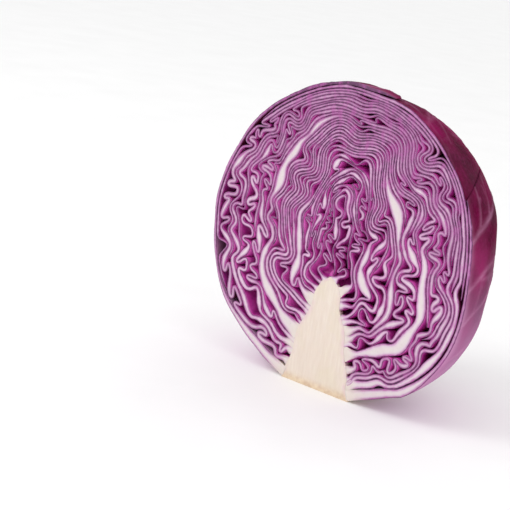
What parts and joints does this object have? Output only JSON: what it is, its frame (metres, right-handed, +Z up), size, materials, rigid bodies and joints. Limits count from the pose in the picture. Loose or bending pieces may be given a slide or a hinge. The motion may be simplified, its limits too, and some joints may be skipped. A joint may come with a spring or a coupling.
{
  "type": "halved red cabbage head",
  "caption": "Half of a red cabbage head cut lengthwise: tightly folded leaves round a tapering solid core, wrapped in glossy outer leaves.",
  "frame": {"origin": "under the centre of the box round the half head, on the surface it stands on", "axes": "+Z runs up the core to the top of the head, -Y is the way the cut face looks, and +X is to the right of somebody who faces the cut"},
  "size_m": [0.166, 0.0762, 0.1616],
  "materials": {
    "core": "moist cut stem flesh, cream white, faintly fibrous",
    "head_leaf": "moist cut leaf flesh, lilac to cream, with thin purple skins",
    "outer_leaf": "waxy burgundy leaf with pale pink veins"
  },
  "bodies": {
    "root": {"core": "core", "head_leaf_01_left": "head_leaf", "head_leaf_02_right": "head_leaf", "head_leaf_03_left": "head_leaf", "head_leaf_04_right": "head_leaf", "head_leaf_05_left": "head_leaf", "head_leaf_06_right": "head_leaf", "head_leaf_07_left": "head_leaf", "head_leaf_08_right": "head_leaf", "head_leaf_09_left": "head_leaf", "head_leaf_10_right": "head_leaf", "head_leaf_11_left": "head_leaf", "head_leaf_12_right": "head_leaf", "head_leaf_13_left": "head_leaf", "head_leaf_14_right": "head_leaf", "head_leaf_15_left": "head_leaf", "head_leaf_16_right": "head_leaf", "head_leaf_17_left": "head_leaf", "head_leaf_18_right": "head_leaf", "head_leaf_19_left": "head_leaf", "head_leaf_20_right": "head_leaf", "head_leaf_21_left": "head_leaf", "head_leaf_22_right": "head_leaf", "head_leaf_23_left": "head_leaf", "head_leaf_24_right": "head_leaf", "head_leaf_25_left": "head_leaf", "head_leaf_26_right": "head_leaf", "head_leaf_27_left": "head_leaf", "head_leaf_28_right": "head_leaf", "outer_leaf_left": "outer_leaf", "outer_leaf_right": "outer_leaf", "outer_leaf_back": "outer_leaf"}
  },
  "joints": []
}
